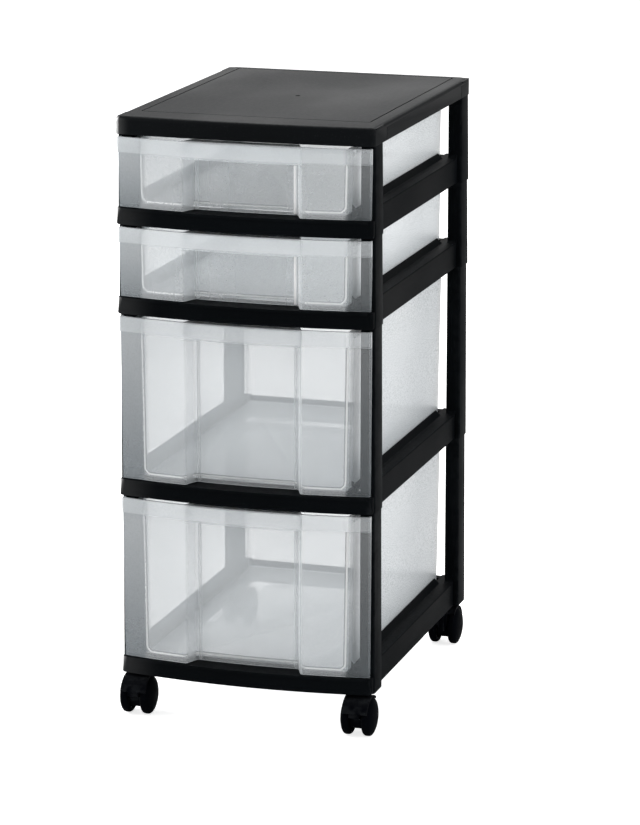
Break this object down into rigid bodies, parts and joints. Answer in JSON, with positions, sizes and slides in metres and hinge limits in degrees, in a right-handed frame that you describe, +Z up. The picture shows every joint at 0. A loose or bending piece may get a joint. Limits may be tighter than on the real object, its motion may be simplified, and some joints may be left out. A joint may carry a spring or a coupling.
{
  "type": "drawer tower",
  "caption": "Drawer tower on casters: stacked open frames with a lid, shallow drawers above deep ones, each drawer sliding out to the front.",
  "frame": {"origin": "on the floor, under the middle of the overall width and depth", "axes": "+X to the right seen from the front, +Y to the back (the drawer fronts face -Y), +Z up"},
  "size_m": [0.2636, 0.3562, 0.6005],
  "materials": {
    "frame_plastic": "satin moulded black polypropylene",
    "drawer_plastic": "frosted translucent polypropylene",
    "caster_plastic": "satin black nylon",
    "steel": "zinc plated"
  },
  "bodies": {
    "tower_frame": {"top_cap": "frame_plastic", "base_tier_frame": "frame_plastic", "lower_tier_frame": "frame_plastic", "upper_tier_frame": "frame_plastic", "top_tier_frame": "frame_plastic", "front_left_caster_stem": "steel", "front_left_caster_grip_ring": "steel", "front_right_caster_stem": "steel", "front_right_caster_grip_ring": "steel", "rear_left_caster_stem": "steel", "rear_left_caster_grip_ring": "steel", "rear_right_caster_stem": "steel", "rear_right_caster_grip_ring": "steel"},
    "bottom_deep_drawer": {"bottom_deep_drawer": "drawer_plastic"},
    "upper_deep_drawer": {"upper_deep_drawer": "drawer_plastic"},
    "second_shallow_drawer": {"second_shallow_drawer": "drawer_plastic"},
    "top_shallow_drawer": {"top_shallow_drawer": "drawer_plastic"},
    "front_left_caster": {"front_left_caster_housing": "caster_plastic", "front_left_caster_axle": "steel"},
    "front_left_caster_outer_wheel": {"front_left_caster_outer_wheel": "caster_plastic"},
    "front_left_caster_inner_wheel": {"front_left_caster_inner_wheel": "caster_plastic"},
    "front_right_caster": {"front_right_caster_housing": "caster_plastic", "front_right_caster_axle": "steel"},
    "front_right_caster_outer_wheel": {"front_right_caster_outer_wheel": "caster_plastic"},
    "front_right_caster_inner_wheel": {"front_right_caster_inner_wheel": "caster_plastic"},
    "rear_left_caster": {"rear_left_caster_housing": "caster_plastic", "rear_left_caster_axle": "steel"},
    "rear_left_caster_outer_wheel": {"rear_left_caster_outer_wheel": "caster_plastic"},
    "rear_left_caster_inner_wheel": {"rear_left_caster_inner_wheel": "caster_plastic"},
    "rear_right_caster": {"rear_right_caster_housing": "caster_plastic", "rear_right_caster_axle": "steel"},
    "rear_right_caster_outer_wheel": {"rear_right_caster_outer_wheel": "caster_plastic"},
    "rear_right_caster_inner_wheel": {"rear_right_caster_inner_wheel": "caster_plastic"}
  },
  "joints": [
    {"name": "bottom_deep_drawer_slide", "type": "slide", "parent": "tower_frame", "child": "bottom_deep_drawer", "axis": [0, -1, 0], "range_m": [0, 0.248]},
    {"name": "upper_deep_drawer_slide", "type": "slide", "parent": "tower_frame", "child": "upper_deep_drawer", "axis": [0, -1, 0], "range_m": [0, 0.248]},
    {"name": "second_shallow_drawer_slide", "type": "slide", "parent": "tower_frame", "child": "second_shallow_drawer", "axis": [0, -1, 0], "range_m": [0, 0.248]},
    {"name": "top_shallow_drawer_slide", "type": "slide", "parent": "tower_frame", "child": "top_shallow_drawer", "axis": [0, -1, 0], "range_m": [0, 0.248]},
    {"name": "front_left_caster_swivel", "type": "hinge", "parent": "tower_frame", "child": "front_left_caster", "pos_m": [-0.1145, -0.144, 0.0405], "axis": [0, 0, 1], "continuous": true},
    {"name": "front_left_caster_outer_wheel_roll", "type": "hinge", "parent": "front_left_caster", "child": "front_left_caster_outer_wheel", "pos_m": [-0.126, -0.157, 0.019], "axis": [1, 0, 0], "continuous": true},
    {"name": "front_left_caster_inner_wheel_roll", "type": "hinge", "parent": "front_left_caster", "child": "front_left_caster_inner_wheel", "pos_m": [-0.103, -0.157, 0.019], "axis": [1, 0, 0], "continuous": true},
    {"name": "front_right_caster_swivel", "type": "hinge", "parent": "tower_frame", "child": "front_right_caster", "pos_m": [0.1145, -0.144, 0.0405], "axis": [0, 0, 1], "continuous": true},
    {"name": "front_right_caster_outer_wheel_roll", "type": "hinge", "parent": "front_right_caster", "child": "front_right_caster_outer_wheel", "pos_m": [0.126, -0.157, 0.019], "axis": [1, 0, 0], "continuous": true},
    {"name": "front_right_caster_inner_wheel_roll", "type": "hinge", "parent": "front_right_caster", "child": "front_right_caster_inner_wheel", "pos_m": [0.103, -0.157, 0.019], "axis": [1, 0, 0], "continuous": true},
    {"name": "rear_left_caster_swivel", "type": "hinge", "parent": "tower_frame", "child": "rear_left_caster", "pos_m": [-0.1145, 0.1455, 0.0405], "axis": [0, 0, 1], "continuous": true},
    {"name": "rear_left_caster_outer_wheel_roll", "type": "hinge", "parent": "rear_left_caster", "child": "rear_left_caster_outer_wheel", "pos_m": [-0.126, 0.1585, 0.019], "axis": [1, 0, 0], "continuous": true},
    {"name": "rear_left_caster_inner_wheel_roll", "type": "hinge", "parent": "rear_left_caster", "child": "rear_left_caster_inner_wheel", "pos_m": [-0.103, 0.1585, 0.019], "axis": [1, 0, 0], "continuous": true},
    {"name": "rear_right_caster_swivel", "type": "hinge", "parent": "tower_frame", "child": "rear_right_caster", "pos_m": [0.1145, 0.1455, 0.0405], "axis": [0, 0, 1], "continuous": true},
    {"name": "rear_right_caster_outer_wheel_roll", "type": "hinge", "parent": "rear_right_caster", "child": "rear_right_caster_outer_wheel", "pos_m": [0.126, 0.1585, 0.019], "axis": [1, 0, 0], "continuous": true},
    {"name": "rear_right_caster_inner_wheel_roll", "type": "hinge", "parent": "rear_right_caster", "child": "rear_right_caster_inner_wheel", "pos_m": [0.103, 0.1585, 0.019], "axis": [1, 0, 0], "continuous": true}
  ]
}
